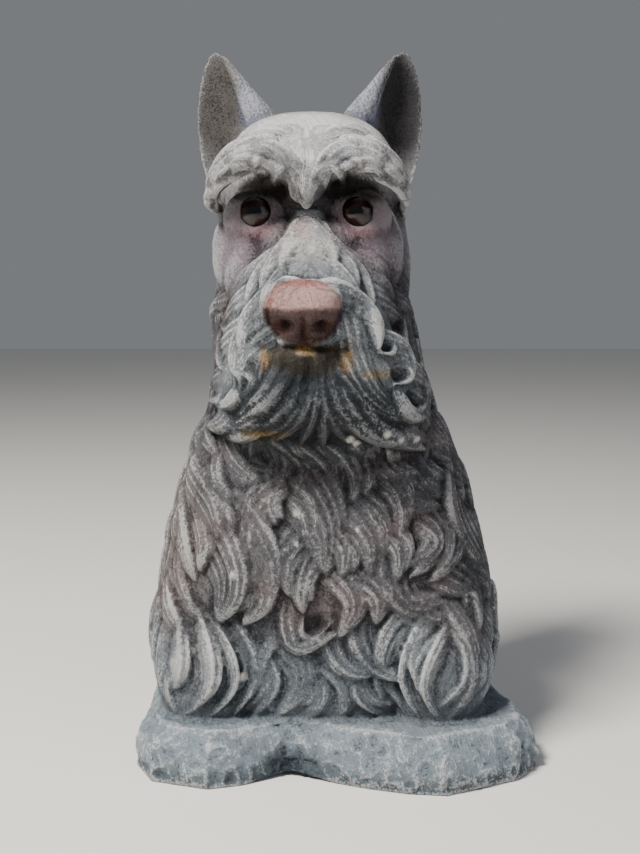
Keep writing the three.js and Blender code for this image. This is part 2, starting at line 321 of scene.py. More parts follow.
# %% One lock
rng = random.Random(11)
strands_at = []  # a spot on a lock, how far across the lock it is, and which way is across
SWELL = 0.15  # share of its length over which a lock swells out of its root


def lock(bm, points, middle, width, relief, strands, depth):
    """A ribbed leaf along the points that stands out from the middle, its ribs cut to a share of it."""
    around, rings = 40, 22
    shift = rng.random()
    frames = []
    for k in range(rings + 1):
        at, along = curve(points, k / rings)
        up = (at - middle) * Vector((1, 1, 0))
        across = along.cross(up.normalized()).normalized()
        frames.append((at, across, across.cross(along).normalized()))

    def form(angle, share, radius):
        at, side, up = frames[round(share * rings)]
        u, out = math.cos(angle), math.sin(angle)
        swell = min(1, share / SWELL) ** 0.5
        half = width / 2 * swell * (1 - share**2.2) ** 0.8
        thick = relief * swell * (1 - share**4) ** 0.6
        lift = relief * (0.3 * share - 1.25 * (1 - share) ** 1.7)
        rib = abs(math.sin(math.pi * (strands * (u + 1) / 2 + shift))) ** 0.7
        crown = out**0.75 * (1 - depth * (0.5 + 0.5 * share) * (1 - rib)) if out > 0 else out
        spot = at + side * half * u + up * (lift + thick * crown)
        if out > -0.2 and half > 0:
            strands_at.append((spot, width / 2 * u + 40 * shift, side * min(4, width / 2 / half)))
        return spot

    ringed(bm, around, rings, form)


def path(row, start=-0.2):
    """Four points on the clay from above the root to the tip, bowed sideways and hooked at the end."""
    x0, h0, x1, h1, bow, _ = row
    run, drop = x1 - x0, h1 - h0
    length = math.hypot(run, drop)
    points = []
    for share in (start, start + (1 - start) / 3, start + (1 - start) * 2 / 3, 1):
        out = bow * (4 * share * (1 - share) - 0.55 * max(0, share) ** 4)
        x, height = x0 + run * share - out * drop / length, h0 + drop * share + out * run / length
        points.append(from_front(x, height))
    return points


print("each lock has", len(plain_ball(40, 22).vertices), "points before the melting")

# %% [markdown]
# The front of the coat is read from the photograph lock by lock. Each row is where the root is
# (across, up), where the tip is, how far the lock bows on its way down, and how wide it is. Many
# short rows are easier to correct than one clever rule.

# %% The chest
CHEST = [
    (-72, 158, -56, 128, -2, 18), (-54, 150, -30, 124, -4, 20), (-59, 135, -44, 114, -4, 18),
    (-38, 152, -33, 130, -2, 14), (-24, 152, -20, 124, 3, 14), (-10, 150, -3, 120, 4, 14),
    (-18, 131, -28, 92, -9, 13), (-33, 122, -26, 74, -10, 17), (-16, 128, -24, 106, -5, 10),
    (-15, 130, 6, 81, 6, 24), (-8, 100, -17, 69, -5, 12), (-3, 94, -10, 60, -3, 12),
    (-74, 122, -48, 95, 3, 24), (-77, 116, -66, 72, -3, 19), (-58, 95, -49, 52, 7, 22),
    (-46, 107, -23, 62, 6, 19), (-79, 84, -64, 50, -4, 17), (-85, 70, -70, 42, -4, 15),
    (-87, 46, -93, 4, -6, 12), (-79, 50, -87, 0, 7, 12), (-72, 40, -78, -2, -7, 12),
    (-66, 48, -69, -2, 8, 13), (-58, 44, -54, 0, 9, 14), (-51, 50, -42, -1, 10, 14),
    (-42, 40, -30, 0, 10, 14), (-24, 43, -18, 0, 11, 15), (-30, 44, -27, 2, -6, 12),
    (-17, 60, 7, 45, -12, 9), (42, 46, 35, 0, -5, 14), (50, 54, 43, -1, -7, 14),
    (1, 148, 8, 120, 4, 15), (13, 148, 18, 117, 4, 14), (22, 140, 43, 93, 9, 14),
    (15, 120, 35, 90, 6, 13), (8, 116, 28, 80, 6, 14), (3, 106, 13, 80, 5, 13),
    (27, 146, 47, 126, -3, 14), (31, 131, 62, 110, -5, 16), (46, 143, 67, 115, -4, 16),
    (58, 143, 77, 124, 3, 17), (68, 130, 83, 106, 3, 17), (52, 112, 51, 78, 10, 15),
    (71, 104, 58, 74, 4, 14), (79, 108, 84, 76, 4, 17), (39, 86, 66, 57, -9, 15),
    (43, 72, 72, 48, -8, 12), (66, 84, 87, 47, 5, 21), (8, 84, 13, 47, 8, 13),
    (17, 82, 31, 55, 6, 15), (54, 53, 30, 25, -4, 21), (24, 50, 44, 20, -5, 13),
    (10, 42, 30, 25, -4, 13), (60, 52, 50, -2, -9, 15), (69, 44, 60, -2, -8, 14),
    (78, 50, 70, -2, 8, 14), (86, 42, 79, 0, 8, 13), (91, 46, 95, 3, 8, 13),
    (24, 28, 33, 0, -4, 14), (4, 36, 15, 0, 6, 15), (-8, 31, -4, -2, 5, 14),
    (-92, 44, -97, 8, -3, 14), (-90, 92, -84, 60, 4, 16), (88, 78, 93, 46, 4, 16),
    (-66, 104, -60, 78, 3, 12), (28, 108, 40, 76, 6, 12), (-36, 84, -36, 52, 6, 13),
]
print("places read for the chest:", len(CHEST))

# %% Carving the chest
figure = clay.copy()
axis = place(0, 0, 0)
for row in CHEST:
    x0, h0, x1, h1, bow, width = row
    # Locks are flatter where they crowd, at the feet and the flanks.
    at_foot = h1 < 8
    relief = 2.7 if at_foot else 4.4 if abs(x1) > 60 else 5.6
    overlap = 1.4 if at_foot else 1.75
    ribs = max(3, round(width / 3.4))
    lock(figure, path(row, -0.35), axis, width * overlap, relief, ribs, 0.6)
    # A lock parts into points: a thinner one leaves it on one side and ends a little higher.
    side = rng.choice((-1, 1))
    spread, higher = side * width * rng.uniform(0.3, 0.45), (h0 - h1) * rng.uniform(0.1, 0.3)
    parted = (x0 + spread * 0.5, h0 - 2, x1 + spread, h1 + higher, bow, width)
    lock(figure, path(parted), axis, width * 1.2, relief * 0.95, 3, 0.5)
print("chest locks:", len(CHEST), "and as many parted ones")

# %% [markdown]
# The photograph stops at the sides. A coat lies like tiles, so the rest is rows of locks, each row
# half a lock round from the one below, with a seeded shuffle so that no two are alike.

# %% The sides and the back
TOP_ROW, BOTTOM_ROW, ROW_DROP, STEP = 212, 24, 26, 25  # three heights, then degrees between locks
count = 0
for level, height in enumerate(range(TOP_ROW, BOTTOM_ROW, -ROW_DROP)):
    # The rows start where the photographed locks end, which is further round low on the body.
    first = 74 if height > 150 else 80
    number = round((360 - 2 * first) / STEP)
    for k in range(number + 1):
        azimuth = first + (k + 0.5 * (level % 2)) * (360 - 2 * first) / number
        if azimuth > 360 - first + 2:
            continue
        bow = rng.uniform(6, 12) * (1 if (k + level) % 2 else -1)
        drop = rng.uniform(40, 50)
        points = [
            from_around(azimuth + bow * math.sin(math.pi * (share + 0.15)), height + 14 - drop * share)
            for share in (-0.1, 0.27, 0.63, 1)
        ]
        lock(figure, points, axis, rng.uniform(34, 42), 6.0, 7, 0.42)
        count += 1
print("coat locks:", count)

# %% [markdown]
# On the face the moustache sweeps out from the bridge of the nose in long locks, the beard hangs
# from the mouth as a fan of narrow ones, and combed hair covers the brows. The rows are as on the
# chest.

# %% Where the locks of the face lie
BRIDGE = [
    (-9, 258, -20, 232, -2, 7), (-12, 250, -30, 222, -3, 8), (-16, 244, -38, 214, -4, 8),
    (-22, 242, -45, 212, -4, 8), (0, 258, 8, 234, 2, 7), (3, 250, 20, 224, 3, 8),
    (7, 244, 28, 216, 4, 8), (13, 242, 36, 214, 4, 8), (-13, 236, -28, 210, -3, 8),
    (4, 236, 20, 212, 3, 8), (-28, 238, -48, 216, -3, 8), (19, 238, 40, 218, 3, 8),
]
MOUSTACHE = [
    (-20, 222, -39, 192, -5, 12), (-23, 212, -40, 176, -6, 17), (-34, 222, -52, 186, -6, 13),
    (-44, 226, -56, 204, -5, 11), (-37, 204, -57, 168, -7, 15), (-26, 186, -48, 153, 5, 18),
    (-50, 182, -57, 158, -5, 13), (-40, 186, -54, 162, 6, 9), (-52, 190, -57, 172, -4, 10),
    (-44, 170, -57, 151, 3, 13), (-32, 166, -48, 149, 3, 13), (10, 222, 30, 196, 5, 12),
    (11, 206, 42, 156, -7, 17), (24, 222, 44, 194, 6, 13), (38, 226, 48, 200, 5, 11),
    (28, 200, 46, 180, 6, 11), (16, 180, 49, 146, -6, 19), (36, 190, 53, 164, 6, 12),
    (46, 206, 57, 176, 5, 12), (40, 176, 56, 158, -5, 10), (47, 186, 55, 158, 5, 13),
    (47, 172, 54, 142, 4, 14), (42, 160, 55, 138, 3, 13), (48, 214, 52, 194, 3, 9),
]
FAN = [
    (-12, 198, -52, 154, 8, 14), (-10, 196, -42, 149, 9, 12), (-7, 196, -30, 148, 7, 11),
    (-4, 195, -18, 149, 5, 10), (-2, 195, -8, 148, 3, 9), (0, 188, 1, 147, 1, 8),
    (2, 195, 11, 148, -4, 10), (5, 196, 22, 147, -6, 11), (8, 197, 36, 145, -8, 13),
    (11, 198, 49, 141, -9, 15), (16, 178, 53, 139, -5, 13),
]
BROW_HAIR = [
    (-9, 272, -22, 292, -3, 9), (-14, 282, -38, 294, -6, 9), (-24, 294, -50, 284, -4, 10),
    (-38, 294, -57, 272, -4, 10), (-16, 276, -32, 289, -3, 6), (-30, 288, -47, 280, -3, 7),
    (-44, 284, -57, 266, -3, 7), (-20, 302, -46, 298, -3, 10), (-3, 272, 10, 291, 3, 9),
    (2, 282, 24, 293, 6, 9), (12, 294, 38, 282, 4, 10), (26, 293, 46, 270, 4, 10),
    (4, 276, 19, 288, 3, 6), (18, 287, 34, 279, 3, 7), (32, 283, 46, 264, 3, 7),
    (8, 301, 34, 296, 3, 10), (-6, 294, -6, 268, 0, 12),
]
print("places read for the face:", len(BRIDGE + MOUSTACHE + FAN + BROW_HAIR))

# %% [markdown]
# A few locks curl round themselves. A curl is a lock whose path is part of a ring: each row is the
# ring's centre, its radius, where it starts in degrees from the top, how far it turns, and the width.
# The lower edge of each brow is broken into short tips, so small tufts hang from it.

# %% Carving the face
CURLS = [
    (-39, 180, 7.0, 250, -250, 8), (-55, 172, 4.5, 30, 260, 6), (-54, 196, 5.0, 320, -220, 6),
    (-47, 210, 5.0, 20, 230, 6), (31, 198, 5.0, 330, 260, 6), (38, 184, 6.0, 300, 270, 7),
    (46, 172, 7.0, 330, 260, 7), (50, 156, 6.5, 300, 270, 7), (43, 203, 5.0, 20, -240, 6),
    (-2, 54, 8.0, 60, 250, 8),
]
BROW_EDGE = [(7, 276), (15, 281), (24, 285.5), (33, 284), (41, 279), (48, 273), (53, 267)]
chin = on_head(0, -34, 0)
# For each kind: relief, how much wider than its row a lock is, ribs, and how deep they are cut.
for rows, relief, spread, ribs, cut in [
    (BRIDGE, 3.4, 1.6, 4, 1.0),
    (MOUSTACHE, 6.2, 1.45, 5, 0.65),
    (FAN, 7.0, 1.35, 2, 0.4),
    (BROW_HAIR, 3.0, 1.5, 3, 0.8),
]:
    for row in rows:
        lock(figure, path(row), chin, row[5] * spread, relief, ribs, cut)
for side in (-1, 1):
    for x, height in BROW_EDGE:
        tip, end = side * (x + rng.uniform(1, 4)) + HEAD_X, height - rng.uniform(1, 5)
        row = (side * x + HEAD_X, height + 6, tip, end, side * 1.5, 7)
        lock(figure, path(row), chin, 9, 2.4, 2, 0.4)
for x, height, radius, start, turn, width in CURLS:
    angles = [math.radians(start + turn * k / 3) for k in range(4)]
    points = [from_front(x + radius * math.sin(a), height + radius * math.cos(a)) for a in angles]
    lock(figure, points, chin if height > 140 else axis, width, 4.6, 2, 0.3)
print("curls:", len(CURLS), "and tufts on the brows' edges:", 2 * len(BROW_EDGE))

# %% [markdown]
# Each glass eye sits in a lid. A lid is a ball of clay round nearly the same centre, a little behind
# it, so that its edge ends as a ring round the glass once the socket is cut.

# %% Lids
EYES = dict(apart=52, forward=40, height=264.5, ball=9.5, gap=0.3, lid=11.5, behind=2.6)  # radii and places


def eye_centre(side, behind=0.0):
    return on_head(side * EYES["apart"] / 2, behind - EYES["forward"], EYES["height"])


for side in (-1, 1):
    centre = eye_centre(side, EYES["behind"])
    egg(figure, (0, 0, 0), (EYES["lid"],) * 3, at=lambda x, y, z: centre + Vector((x, y, z)))
print("eyes at", [eye_centre(side).to_tuple(1) for side in (-1, 1)])

# %% [markdown]
# ## The slab
#
# The base is a hewn slab whose corners lie where the photograph shows them. A disc with one side for
# each corner, raised in three levels, is enough: the chipping comes later, on the skin.

# %% The slab
CORNERS = [
    (0, 50), (18, 64), (28, 77), (37, 90), (58, 106), (68, 109), (78, 102), (90, 93), (110, 95),
    (130, 99), (153, 94), (180, 88), (207, 94), (228, 97), (251, 88), (268, 82), (294, 92),
    (307, 94), (323, 80), (331, 66), (344, 47),
]
LEDGE = 18  # how far the slab stands out past the coat
WORN = (2, 0, 3, 12)  # how far each level is worn back, from the ground up


def round_from_front(v):
    straight_ahead = abs(v.co.x) <= 1e-5 and v.co.y <= 0
    return 0.0 if straight_ahead else math.atan2(v.co.x, -v.co.y) % (2 * math.pi)


def slab(bm):
    disc = bmesh.ops.create_circle(bm, cap_ends=True, segments=len(CORNERS), radius=1)["verts"]
    ring = sorted(disc, key=round_from_front)
    for v, (azimuth, reach) in zip(ring, CORNERS):
        a = math.radians(azimuth)
        v.co = Vector((math.sin(a), -math.cos(a), 0)) * (reach + LEDGE - WORN[0])
    edges = list({e for v in disc for e in v.link_edges})
    for level in (1, 2, 3):
        raised = bmesh.ops.extrude_edge_only(bm, edges=edges)["geom"]
        verts = [g for g in raised if isinstance(g, bmesh.types.BMVert)]
        edges = [g for g in raised if isinstance(g, bmesh.types.BMEdge) and all(v in verts for v in g.verts)]
        for v in verts:
            flat = Vector((v.co.x, v.co.y, 0))
            grown = 1 + (WORN[level - 1] - WORN[level]) / flat.length
            v.co = flat * grown + Vector((0, 0, SLAB * level / 3))
    bmesh.ops.contextual_create(bm, geom=edges)


slab(figure)
bmesh.ops.recalc_face_normals(figure, faces=figure.faces)
print("before melting:", len(figure.faces), "faces")

# %% [markdown]
# ## One skin
#
# Clay, locks and slab overlap. The Remesh modifier fills them with small cubes and wraps one skin
# round the lot, as a mould does, so there are no seams or hidden walls. Cubes of about a millimetre
# keep ribs that are three to six millimetres apart.

# %% Melt the forms together
def object_from(bm, name):
    mesh = bpy.data.meshes.new(name)
    bm.to_mesh(mesh)
    bm.free()
    obj = bpy.data.objects.new(name, mesh)
    bpy.context.collection.objects.link(obj)
    return obj


def finish_modifiers(obj):
    """Makes what the modifiers show the object's own mesh."""
    bpy.context.view_layer.update()
    made = bpy.data.meshes.new_from_object(obj.evaluated_get(bpy.context.evaluated_depsgraph_get()))
    obj.modifiers.clear()
    old, obj.data = obj.data, made
    bpy.data.meshes.remove(old)
    return obj


casting = object_from(figure, "cement_terrier")
melt = casting.modifiers.new("melt", "REMESH")
melt.mode, melt.voxel_size, melt.adaptivity = "VOXEL", SKIN, 0
finish_modifiers(casting)
print("melted skin:", len(casting.data.vertices), "points")

# %% [markdown]
# ## Tool marks
#
# Small moves along the surface's own direction are what a sculptor's tools do: press a nostril in,
# chip the slab, leave the cement a little grainy. Brushes in Sculpt Mode would do it by hand. Here
# they are done on all points at once with numpy, so that they can be repeated and corrected.

# %% Reading and writing all points
def points_of(mesh):
    spots, ways = np.empty(len(mesh.vertices) * 3), np.empty(len(mesh.vertices) * 3)
    mesh.vertices.foreach_get("co", spots)
    mesh.vertex_normals.foreach_get("vector", ways)
    return spots.reshape(-1, 3), ways.reshape(-1, 3)


def averaged(mesh, values, times):
    """Each point's value, averaged with its neighbours over and over."""
    ends = np.empty(len(mesh.edges) * 2, int)
    mesh.edges.foreach_get("vertices", ends)
    a, b = ends[0::2], ends[1::2]
    many = np.bincount(ends, minlength=len(values)).clip(1)
    values = np.array(values, float)
    for _ in range(times):
        for k in range(values.shape[1]):
            column = values[:, k]
            total = np.bincount(a, column[b], len(column)) + np.bincount(b, column[a], len(column))
            values[:, k] = 0.4 * column + 0.6 * total / many
    return values


def rough(spots, size, seed):
    """Soft noise between about -1 and 1, whose lumps are that many millimetres across."""
    offset = Vector((seed * 17.3, seed * 5.1, seed * 9.7))
    return np.array([noise.noise(Vector(p) / size + offset) for p in spots])


def ease(values, low, high):
    t = np.clip((values - low) / (high - low), 0, 1)
    return t * t * (3 - 2 * t)


print("points that can be moved:", len(casting.data.vertices))

# %% [markdown]
# Averaging is what a thumb does to clay, so once over everything takes away the steps of the small
# cubes, and many times over the cheeks and the nape leaves them smooth. A press is a soft dent: as
# deep as it says at its centre, and about a third as deep at its reach.

# %% The thumb and the pressed dents
spots, ways = points_of(casting.data)
spots = averaged(casting.data, spots, 1)


def around(centre, reach):
    gone = ((spots - np.array(centre)) / np.array(reach)) ** 2
    return np.exp(-gone.sum(axis=1))


def press(centre, reach, depth):
    spots[:] -= ways * (depth * around(centre, reach))[:, None]


thumb = sum(around(on_head(side * 33, -34, 246), (15, 22, 10)) for side in (-1, 1))
thumb += around(on_head(0, 45, 268), (55, 35, 42))
spots += (averaged(casting.data, spots, 100) - spots) * np.clip(1.6 * thumb, 0, 1)[:, None]
NOSE_X = -8.0  # the nose lies a little to the viewer's left
for side in (-1, 1):
    press(place(NOSE_X + side * 10.5, -100, 207), (4.2, 8, 3.0), 5.5)  # nostril
press(place(NOSE_X, -100, 203), (1.6, 8, 7), 2.2)  # groove between the nostrils
press(place(NOSE_X, -94, 197), (20, 12, 2.2), 4.0)  # mouth
for side in (-1, 1):
    press(place(NOSE_X + side * 18, -92, 199), (4, 8, 5), 2.5)  # corner of the mouth
press((-16, -66, 8), (16, 12, 10), 5.0)  # hollow under the slab's front edge
for x, height, radius, *_ in CURLS:
    press(from_front(x, height), (radius * 0.6,) * 3, 3.5)
print("dents pressed:", 7 + len(CURLS))

# %% [markdown]
# Hewn stone breaks in lumps, flakes and sand. Three noises of 17, 9 and 3.6 mm stand for them, and
# the second is folded, which gives flakes their sharp edges. They act on the slab alone. The figure
# gets only the faint unevenness of cast cement.

# %% The chipped slab
stone = ease(SLAB + 1.5 - spots[:, 2], 0, 3) * ease(spots[:, 2], 0.3, 2.5)
chips = 1.7 * rough(spots, 17, 1) - 2.6 * np.abs(rough(spots, 9, 2)) - 1.0 * np.abs(rough(spots, 3.6, 3))
spots += ways * (stone * chips)[:, None]
spots += ways * ((1 - stone) * ease(spots[:, 2], 2, 4) * 0.16 * rough(spots, 2.2, 4))[:, None]
spots[:, 2] = np.maximum(spots[:, 2], 0)
casting.data.vertices.foreach_set("co", spots.ravel())
casting.data.update()
print("slab chipped by up to", round(float(-(stone * chips).min()), 1), "mm")

# %% [markdown]
# The sockets are cut with a Boolean, with 0.3 mm to spare round the glass. Then Decimate thins the
# skin where it is smooth and keeps its points on the ribs. Its vertex group lets it take more from
# the back, which nobody sees as closely.

# %% Sockets, and a lighter skin
def triangles_in(mesh):
    return sum(len(face.vertices) - 2 for face in mesh.polygons)


tool_bm = bmesh.new()
SOCKET = EYES["ball"] + EYES["gap"]
for side in (-1, 1):
    ball = bmesh.ops.create_uvsphere(tool_bm, u_segments=48, v_segments=32, radius=SOCKET)
    bmesh.ops.translate(tool_bm, verts=ball["verts"], vec=eye_centre(side))
tool = object_from(tool_bm, "socket_tool")
cut = casting.modifiers.new("sockets", "BOOLEAN")
cut.object, cut.operation, cut.solver = tool, "DIFFERENCE", "MANIFOLD"
finish_modifiers(casting)
bpy.data.objects.remove(tool)
group = casting.vertex_groups.new(name="may_be_thinned")
spots, ways = points_of(casting.data)
freely = np.round(0.5 + 0.5 * ease(spots[:, 1], -20, 30), 1)
for weight in np.unique(freely):
    group.add(np.flatnonzero(freely == weight).tolist(), float(weight), "REPLACE")
thin = casting.modifiers.new("thin", "DECIMATE")
thin.vertex_group, thin.vertex_group_factor = group.name, 0.02
triangles = triangles_in(casting.data)
thin.ratio = FACES / triangles
finish_modifiers(casting)
for face in casting.data.polygons:
    face.use_smooth = True
print("casting:", triangles, "triangles, thinned to", triangles_in(casting.data))

# %% [markdown]
# ## Paint
#
# The painter worked by zones and by relief: a grey coat, white dry-brushed over whatever stands out,
# and a dark wash in whatever lies deep, which the material darkens further as painted shade. So each
# point of the skin gets its zone's colour, how far it stands out of its surroundings, and how much
# white its zone was given. Painting by hand in Blender could do it too, but not twice alike. The
# finest marks are left to the material, which can draw them between the points.

# %% How far each point stands out
def linear(code):
    """An sRGB hex colour as the linear numbers that the render works in."""
    parts = [int(code[i : i + 2], 16) / 255 for i in (1, 3, 5)]
    return [c / 12.92 if c <= 0.04045 else ((c + 0.055) / 1.055) ** 2.4 for c in parts]


skin_mesh = casting.data
spots, ways = points_of(skin_mesh)
near = ((spots - averaged(skin_mesh, spots, 5)) * ways).sum(axis=1)
wide = ((spots - averaged(skin_mesh, spots, 60)) * ways).sum(axis=1)
ridge = np.clip(near / 0.35, -1, 1) * 0.55 + np.clip(wide / 2.4, -1, 1) * 0.75
x, y, h = spots[:, 0], spots[:, 1], spots[:, 2] - SLAB
for name, values in [("near", near), ("wide", wide)]:
    print("relief,", name, "in mm:", np.percentile(values, [5, 50, 95]).round(2))

# %% [markdown]
# Each zone is a soft blob at a place on the figure, or everything above or below a height. A stroke
# of the brush moves the colour of its zone towards a new one, and may say how much white goes on it.
# Later strokes lie over earlier ones, as paint does. The coat comes first, then the head, the muzzle
# and the slab.

# %% Brushes, and the coat
block = 1 - ease(spots[:, 2], SLAB - 1, SLAB + 1.5)
forehead = ease(h, 284, 298) * ease(-y, -45, -10)
foot = ease(h, -3, 1) * (1 - ease(h, 5, 14))
# Relief counts less on the slab and the forehead, and little of the dark wash and painted shade
# stays where the feet meet the slab.
ridge = np.maximum(ridge, -1.0 + 0.8 * foot) * (1 - 0.3 * block) * (1 - 0.5 * forehead) + 0.2 * forehead
paint = np.tile(linear("#68676b"), (len(spots), 1))
white = np.full(len(spots), 0.45)


def blob(middle, reach, soft=0.5):
    """1 well inside an egg of that reach, fading to 0 over the soft share of the way to its edge."""
    d = np.sqrt(sum(((c - m) / r) ** 2 for c, m, r in zip((x, y, h), middle, reach)))
    return np.clip((1 - d) / soft, 0, 1)


def brush(colour, amount, brightness=None, strength=1.0):
    """Lays a colour over the zone, and says how much white is brushed on there."""
    amount = np.clip(amount, 0, 1) * strength
    paint[:] += (np.array(linear(colour)) - paint) * amount[:, None]
    if brightness is not None:
        white[:] += (brightness - white) * amount


patch, cloud = rough(spots, 26, 7), rough(spots, 11, 8)
brush("#77696b", ease(patch, 0.05, 0.45), None, 0.55)  # rusty patches
brush("#575a60", ease(-patch, 0.05, 0.45), None, 0.6)  # slate patches
brush("#76818a", ease(-h, -62, -22), 0.6, 0.75)  # blue-grey feet
brush("#56575c", ease(h, 116, 140) * (1 - ease(h, 205, 222)), 0.35, 0.5)  # darker band on the upper chest and neck: painted shade under the beard
brush("#857c7b", blob((-80, -20, 92), (34, 60, 62)), 0.7, 0.6)  # warm flank on the viewer's left, also lighter as a painted lit side
brush("#a9acaf", blob((-58, -66, 34), (20, 30, 24)), 1.0, 0.5)  # pale forefeet
brush("#8f979d", blob((45, -66, 40), (22, 30, 22)), 1.0, 0.6)
brush("#4f5157", blob((96, -10, 110), (34, 60, 70)), 0.3, 0.5)  # darker flank on the viewer's right: painted shade on the side away from the light
print("coat painted on", len(spots), "points")

# %% [markdown]
# The head is the whitest part: the forehead and the bridge of the nose were brushed almost white,
# while the cheeks round the eyes stayed violet and smooth. The undersides of the brows and the tops of
# the lids get nearly black painted shade, and the cheek on the viewer's right darker painted shade.
# Each ear has a pale violet rim on its inner side and painted shade in its hollow.

# %% The head
brush("#868588", ease(h, 222, 240) * ease(-y, -70, 30), 0.6)
brush("#cccccd", blob((-6, -40, 302), (52, 60, 26)), 1.0)  # forehead
brush("#a3a6b4", blob((12, -58, 292), (16, 24, 10)), 0.9, 0.6)  # violet patch over a brow
brush("#7b7781", blob((-46, -30, 244), (24, 50, 24)), 0.25, 0.8)  # cheeks
# The cheek on the viewer's right is darker as painted shade, and darker still at its lower corner, where the
# jowl ends, as a painted shadow.
brush("#625f65", blob((38, -30, 242), (24, 50, 28)), 0.25, 0.85)
brush("#48464b", blob((42, -28, 230), (13, 44, 17)), 0.2, 0.75)
brush("#cbcac8", blob((-7, -76, 238), (20, 40, 26)), 1.0)  # bridge of the nose
brush("#c0a09c", blob((-11, -60, 256), (9, 22, 7)), 0.6, 0.5)  # pink showing through
for side in (-1, 1):
    cx, cy, cz = eye_centre(side) - Vector((0, 0, SLAB))
    bare = ease(cloud, 0.2, 0.5)
    brush("#736770", blob((cx + side * 6, cy, cz - 12), (26, 30, 24)), 0.15, 0.9)  # round the eye
    brush("#6d5d64", blob((cx, cy - 4, cz - 2), (21, 18, 17)), 0.1, 0.95)  # lids
    brush("#96767c", blob((cx + 2, cy - 6, cz - 9), (11, 12, 4.5)), 0.25, 0.8)  # pink lower lid
    brush("#6a5530", blob((cx - side, cy - 6, cz + 9), (20, 18, 9)) * bare, 0.3, 0.7)  # worn to ochre
    # Painted shade: near black on the faces that turn down under each brow, with gaps where the ochre shows,
    # and a painted shadow of the brow on the top of each lid.
    painted_brow_shade = ease(-ways[:, 2], -0.45, 0.1) * (1 - 0.7 * ease(cloud, 0.25, 0.5))
    brush("#24211f", blob((cx - side, cy - 6, cz + 11), (23, 18, 10.5), 0.35) * painted_brow_shade, 0.1)  # under the brow
    brush("#2b2624", blob((cx + side * 3, cy + 1, cz + 10), (17, 11, 7), 0.4), 0.05)  # top of the lid
    # Painted shade in each ear's hollow, on its faces that turn forwards, darker on the viewer's right, away
    # from the light.
    hollow = blob((side * 52 + HEAD_X, 4, 326), (17, 26, 38), 0.3) * ease(-ways[:, 1], 0.1, 0.6)
    brush("#6d6c6f", blob((side * 46 + HEAD_X, 6, 322), (26, 30, 52)), 0.25)  # ear
    brush("#747889", blob((side * 31 + HEAD_X, 2, 332), (13, 18, 30), 0.4), 0.35)  # its rim
    brush("#363537" if side > 0 else "#524f4d", hollow, 0.15)  # its hollow, darker on the viewer's right
print("head painted, whitest at", round(float(white.max()), 2))

# %% [markdown]
# The moustache is pale and the beard under it dark blue-grey, with ochre where the paint wore off
# along the mouth and at the beard's edges. The nose is brown below and a worn, chalky pink above.
# The slab is blue-grey, darker towards its foot, with painted shade where it is undercut and a
# painted highlight along its top edge.

# %% The muzzle, the nose and the slab
front = ease(-y, -10, 25)
muzzle = blob((-4, -72, 190), (70, 44, 60), 0.25) * ease(-y, 18, 40)
painted_beard_underside_shade = ease(-ways[:, 2], 0.35, 0.8) * ease(h, 132, 142) * (1 - ease(h, 190, 200)) * front
mouth_corners = blob((-27, -90, 192), (4, 16, 9), 0.6) + blob((13, -90, 192), (4, 16, 9), 0.6)
brush("#82878c", muzzle, 0.75)  # moustache
brush("#5c656d", muzzle * ease(-h, -192, -160), 0.7, 0.7)  # its lower locks
brush("#33383e", blob((-3, -84, 166), (48, 44, 30), 0.35), 0.16)  # beard
brush("#3f3a33", blob((-7, -90, 192), (25, 24, 9), 0.35), 0.03)  # shade under the mouth
brush("#383d43", blob((30, -84, 162), (30, 30, 16), 0.5), 0.4, 0.8)  # sides of the beard
brush("#33393f", blob((-36, -84, 164), (18, 30, 14), 0.5), 0.5, 0.7)
# Painted shade on the faces of the beard that turn down.
brush("#3b3c3f", painted_beard_underside_shade, 0.1)
brush("#b08c4c", blob((-7, -92, 196.5), (21, 20, 3.5), 0.5) * ease(cloud, -0.5, 0.1), 0.4, 0.9)  # ochre lip
brush("#a8854a", mouth_corners, 0.5, 0.7)
brush("#8d743f", blob((-32, -82, 153), (20, 20, 4), 0.5), 0.3, 0.6)  # ochre on the beard's edges
brush("#9c7f49", blob((30, -84, 184), (13, 20, 2.5), 0.5), 0.4, 0.6)
nose = blob((NOSE_X, -94, 214), (21, 20, 17), 0.12)
brush("#432a25", nose, 0.05)
brush("#a46a63", nose * ease(h + 1.5 * cloud, 214.5, 217), 0.25)

brush("#84919a", block, 0.65)  # slab
brush("#4a545c", block * ease(-spots[:, 2], -13, -2), 0.5, 0.8)  # darker towards its foot
brush("#4c565e", block * blob((-14, -70, -22), (26, 22, 12)), 0.3, 0.8)  # painted shade in the hollow in front
brush("#8c98a1", block * ease(spots[:, 2], 20, 27), 0.5, 0.6)  # paler along its top edge: painted highlight
# Painted highlights: pale strips on two locks at the feet, where the light catches them.
painted_toe_highlights = blob((57, -70, 27), (6, 30, 15)) + blob((96, -50, 30), (6, 30, 20))
brush("#c9cccd", painted_toe_highlights, 1.0, 0.35)
print("least white brushed on:", round(float(white.min()), 2))

# %% [markdown]
# Small chips show bare, pale cement on the chest and the beard. Each row is across, up and the size.
# The painter's brush followed the hair, so each point also takes from the nearest lock its distance
# across that lock. Lines of equal distance are then the strands.

# %% Chips, and the way the hair runs
CHIPS = [
    (-12, 112, 1.9), (-21, 111, 1.0), (-12.5, 97, 1.2), (19, 104, 1.0), (-45, 79.5, 1.4), (-40, 24, 2.2),
    (33, 154, 2.0), (41, 150, 1.6), (15, 151, 2.0), (18, 149, 1.6), (50, 149, 1.6),
]
chip = np.zeros(len(spots))
for cx, ch, size in CHIPS:
    far_off = np.hypot(x - cx, h - ch) / size + 0.35 * cloud
    chip = np.maximum(chip, np.clip((1.3 - far_off) / 0.5, 0, 1) * ease(-y, 20, 30))

